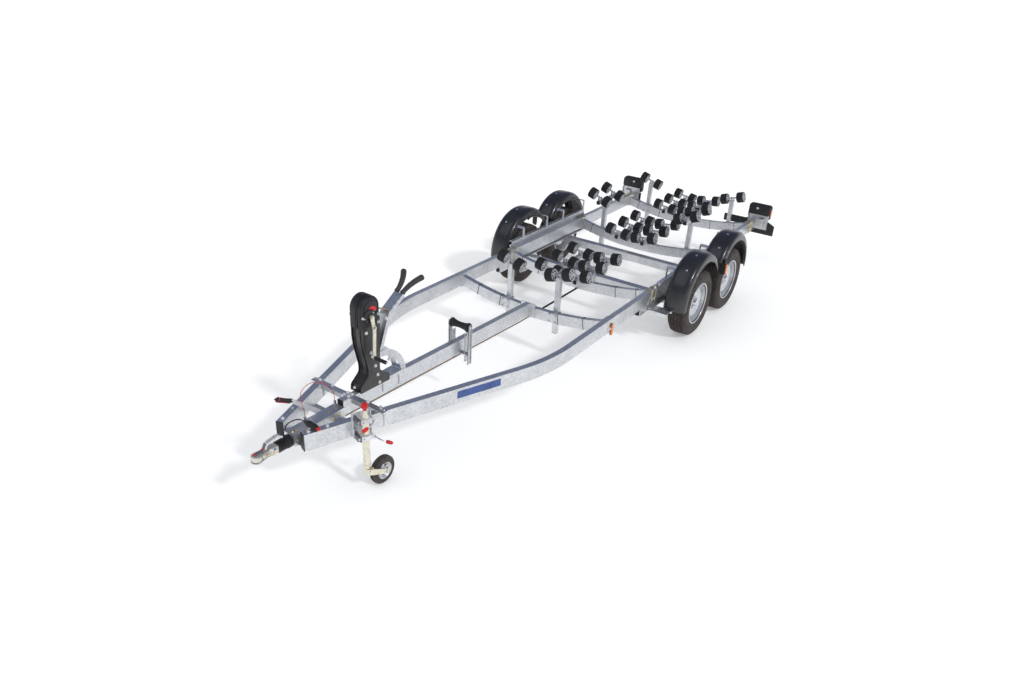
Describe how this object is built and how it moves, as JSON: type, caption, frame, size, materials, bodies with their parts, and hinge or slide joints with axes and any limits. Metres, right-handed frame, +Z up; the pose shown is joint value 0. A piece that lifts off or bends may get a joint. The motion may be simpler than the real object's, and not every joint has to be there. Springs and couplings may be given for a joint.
{
  "type": "twin-axle boat trailer",
  "caption": "Galvanised twin-axle boat trailer with rocking roller cradles, winch post with bow stop, keel roller, jockey wheel and ball coupling.",
  "frame": {"origin": "on the floor under the middle of the trailer", "axes": "+Y towards the rear, +X to the left side, +Z up"},
  "size_m": [2.276, 6.844, 1.236],
  "materials": {
    "galvanised": "mottled galvanised steel",
    "black_paint": "semi-gloss black powder coat",
    "guard_plastic": "glossy moulded black plastic",
    "black_plastic": "matt black moulded plastic",
    "tyre_rubber": "tyre rubber",
    "roller_rubber": "ribbed black rubber with grey hub",
    "rim_silver": "silver painted pressed steel",
    "zinc": "yellow passivated zinc plate",
    "cast_zinc": "zinc plated casting",
    "amber_lens": "amber moulded lens",
    "red_plastic": "red moulded plastic",
    "webbing": "woven winch strap",
    "grip_rubber": "black grip rubber"
  },
  "bodies": {
    "frame": {"axle_front": "galvanised", "axle_rear": "galvanised", "beam_end_caps": "black_plastic", "bellows": "grip_rubber", "bow_roller_posts": "galvanised", "bow_stop_arm": "galvanised", "bow_stop_horns": "grip_rubber", "bow_stop_quadrant": "galvanised", "brake_rod": "zinc", "breakaway_cable": "red_plastic", "carrier_left": "galvanised", "carrier_right": "galvanised", "coupling_handle": "cast_zinc", "coupling_head": "cast_zinc", "cross_beam_1": "galvanised", "cross_beam_2": "galvanised", "cross_beam_3": "galvanised", "cross_beam_4": "galvanised", "front_cross_plate": "galvanised", "handbrake_lever": "galvanised", "jockey_clamp": "cast_zinc", "keel_beam": "galvanised", "keel_roller_bracket": "galvanised", "lamp_brackets": "galvanised", "lighting_plug": "black_plastic", "mudguards_left": "guard_plastic", "mudguards_right": "guard_plastic", "overrun_housing": "galvanised", "plug_lead": "black_plastic", "rear_lamps": "black_plastic", "side_markers": "amber_lens", "side_rail_left": "galvanised", "side_rail_right": "galvanised", "side_roller_posts": "galvanised", "step_plates": "galvanised", "stern_roller_posts": "galvanised", "winch_cover": "black_plastic", "winch_post": "black_paint", "winch_strap": "webbing"},
    "wheel_front_left": {"tyre_front_left": "tyre_rubber", "rim_front_left": "rim_silver"},
    "wheel_front_right": {"tyre_front_right": "tyre_rubber", "rim_front_right": "rim_silver"},
    "wheel_rear_left": {"tyre_rear_left": "tyre_rubber", "rim_rear_left": "rim_silver"},
    "wheel_rear_right": {"tyre_rear_right": "tyre_rubber", "rim_rear_right": "rim_silver"},
    "jockey_tube": {"jockey_tube": "zinc"},
    "jockey_fork": {"jockey_fork": "zinc"},
    "jockey_wheel": {"jockey_wheel": "tyre_rubber"},
    "winch_crank": {"winch_crank": "zinc"},
    "keel_roller": {"keel_roller": "roller_rubber"},
    "cradle_2_left": {"cradle_2_left": "roller_rubber"},
    "cradle_2_right": {"cradle_2_right": "roller_rubber"},
    "cradle_3_left": {"cradle_3_left": "roller_rubber"},
    "cradle_3_right": {"cradle_3_right": "roller_rubber"},
    "cradle_4_left": {"cradle_4_left": "roller_rubber"},
    "cradle_4_right": {"cradle_4_right": "roller_rubber"},
    "side_cradle_left": {"side_cradle_left": "roller_rubber"},
    "side_cradle_right": {"side_cradle_right": "roller_rubber"}
  },
  "joints": [
    {"name": "wheel_front_left_spin", "type": "hinge", "parent": "frame", "child": "wheel_front_left", "pos_m": [0.99, 0.942, 0.32], "axis": [1, 0, 0], "continuous": true},
    {"name": "wheel_front_right_spin", "type": "hinge", "parent": "frame", "child": "wheel_front_right", "pos_m": [-0.99, 0.942, 0.32], "axis": [1, 0, 0], "continuous": true},
    {"name": "wheel_rear_left_spin", "type": "hinge", "parent": "frame", "child": "wheel_rear_left", "pos_m": [0.99, 1.728, 0.32], "axis": [1, 0, 0], "continuous": true},
    {"name": "wheel_rear_right_spin", "type": "hinge", "parent": "frame", "child": "wheel_rear_right", "pos_m": [-0.99, 1.728, 0.32], "axis": [1, 0, 0], "continuous": true},
    {"name": "jockey_slide", "type": "slide", "parent": "frame", "child": "jockey_tube", "axis": [0, 0, 1], "range_m": [0, 0.165]},
    {"name": "jockey_swivel", "type": "hinge", "parent": "jockey_tube", "child": "jockey_fork", "pos_m": [0.33, -2.781, 0.2], "axis": [0, 0, 1], "continuous": true},
    {"name": "jockey_wheel_spin", "type": "hinge", "parent": "jockey_fork", "child": "jockey_wheel", "pos_m": [0.33, -2.641, 0.103], "axis": [1, 0, 0], "continuous": true},
    {"name": "winch_crank_turn", "type": "hinge", "parent": "frame", "child": "winch_crank", "pos_m": [0.0833, -2.44, 1.093], "axis": [1, 0, 0], "continuous": true},
    {"name": "keel_roller_spin", "type": "hinge", "parent": "frame", "child": "keel_roller", "pos_m": [0, -1.38, 0.618], "axis": [1, 0, 0], "continuous": true},
    {"name": "cradle_2_left_rock", "type": "hinge", "parent": "frame", "child": "cradle_2_left", "pos_m": [0.1525, 0.477, 0.533], "axis": [1, 0, 0], "range_deg": [-12, 12]},
    {"name": "cradle_2_right_rock", "type": "hinge", "parent": "frame", "child": "cradle_2_right", "pos_m": [-0.1525, 0.477, 0.533], "axis": [1, 0, 0], "range_deg": [-12, 12]},
    {"name": "cradle_3_left_rock", "type": "hinge", "parent": "frame", "child": "cradle_3_left", "pos_m": [0.1525, 1.872, 0.533], "axis": [1, 0, 0], "range_deg": [-12, 12]},
    {"name": "cradle_3_right_rock", "type": "hinge", "parent": "frame", "child": "cradle_3_right", "pos_m": [-0.1525, 1.872, 0.533], "axis": [1, 0, 0], "range_deg": [-12, 12]},
    {"name": "cradle_4_left_rock", "type": "hinge", "parent": "frame", "child": "cradle_4_left", "pos_m": [0.1525, 3.067, 0.533], "axis": [1, 0, 0], "range_deg": [-12, 12]},
    {"name": "cradle_4_right_rock", "type": "hinge", "parent": "frame", "child": "cradle_4_right", "pos_m": [-0.1525, 3.067, 0.533], "axis": [1, 0, 0], "range_deg": [-12, 12]},
    {"name": "side_cradle_left_rock", "type": "hinge", "parent": "frame", "child": "side_cradle_left", "pos_m": [0.512, 1.919, 0.79], "axis": [1, 0, 0], "range_deg": [-15, 15]},
    {"name": "side_cradle_right_rock", "type": "hinge", "parent": "frame", "child": "side_cradle_right", "pos_m": [-0.512, 1.919, 0.79], "axis": [1, 0, 0], "range_deg": [-15, 15]}
  ]
}
